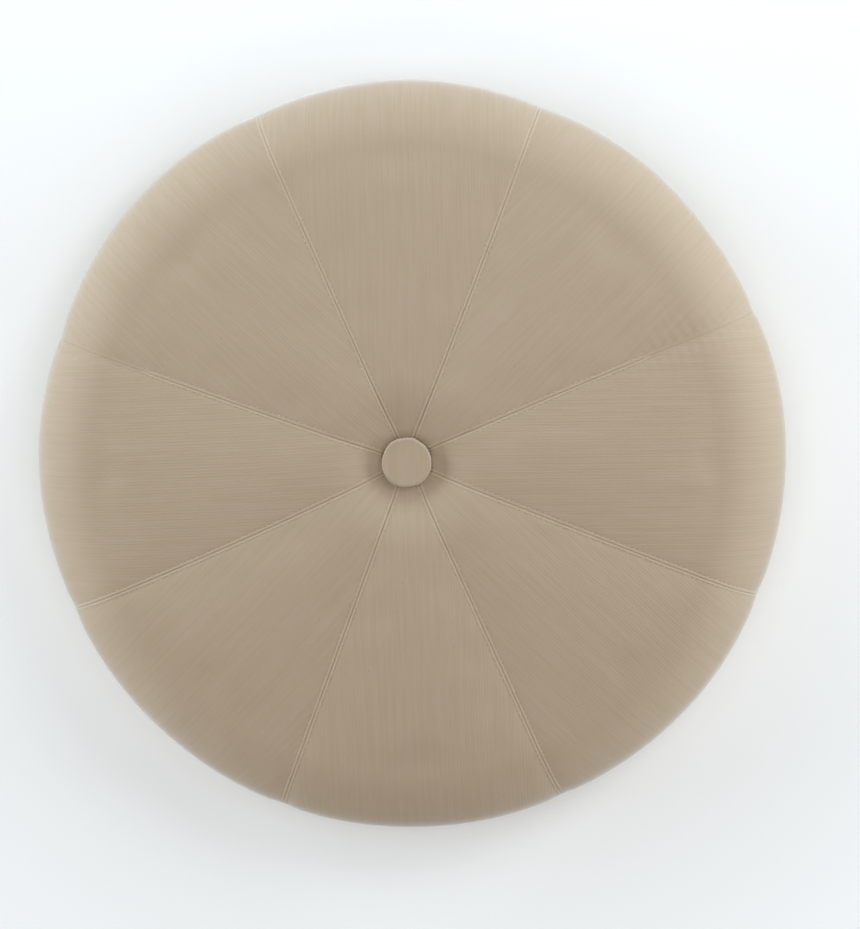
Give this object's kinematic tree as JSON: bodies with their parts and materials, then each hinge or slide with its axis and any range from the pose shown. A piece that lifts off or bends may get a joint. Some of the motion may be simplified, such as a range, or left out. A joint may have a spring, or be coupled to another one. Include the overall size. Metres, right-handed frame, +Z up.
{
  "type": "chair seat pad",
  "caption": "Round upholstered seat pad with a gored fabric cover, a covered centre button and a plywood base that bolts to a chair or stool frame.",
  "frame": {"origin": "centre of the underside, on the plane that rests on the chair", "axes": "+Z up through the button, the pad's axis of symmetry; +X and +Y in the plane of the underside"},
  "size_m": [0.43, 0.43, 0.0753],
  "materials": {
    "cover_fabric": "finely ribbed taupe upholstery fabric",
    "stitching_thread": "taupe sewing thread",
    "button_metal": "stamped, unpolished",
    "twine": "waxed tufting twine",
    "zinc_steel": "zinc plated",
    "staple_wire": "galvanised wire",
    "wadding": "polyester wadding",
    "soft_foam": "soft open-cell polyurethane foam",
    "firm_foam": "firm open-cell polyurethane foam",
    "plywood": "sanded birch plywood",
    "black_nonwoven": "spun-bonded nonwoven"
  },
  "bodies": {
    "root": {"cover_gore_1": "cover_fabric", "topstitch_1": "stitching_thread", "cover_gore_2": "cover_fabric", "topstitch_2": "stitching_thread", "cover_gore_3": "cover_fabric", "topstitch_3": "stitching_thread", "cover_gore_4": "cover_fabric", "topstitch_4": "stitching_thread", "cover_gore_5": "cover_fabric", "topstitch_5": "stitching_thread", "cover_gore_6": "cover_fabric", "topstitch_6": "stitching_thread", "cover_gore_7": "cover_fabric", "topstitch_7": "stitching_thread", "cover_gore_8": "cover_fabric", "topstitch_8": "stitching_thread", "button_cover": "cover_fabric", "button_cap": "button_metal", "button_back": "button_metal", "button_loop": "button_metal", "tufting_twine": "twine", "twine_knot": "twine", "anchor_washer": "zinc_steel", "tee_nuts": "zinc_steel", "cover_staples": "staple_wire", "dust_cover_staples": "staple_wire", "wadding_wrap": "wadding", "foam_topper": "soft_foam", "foam_core": "firm_foam", "seat_board": "plywood", "dust_cover": "black_nonwoven"}
  },
  "joints": []
}
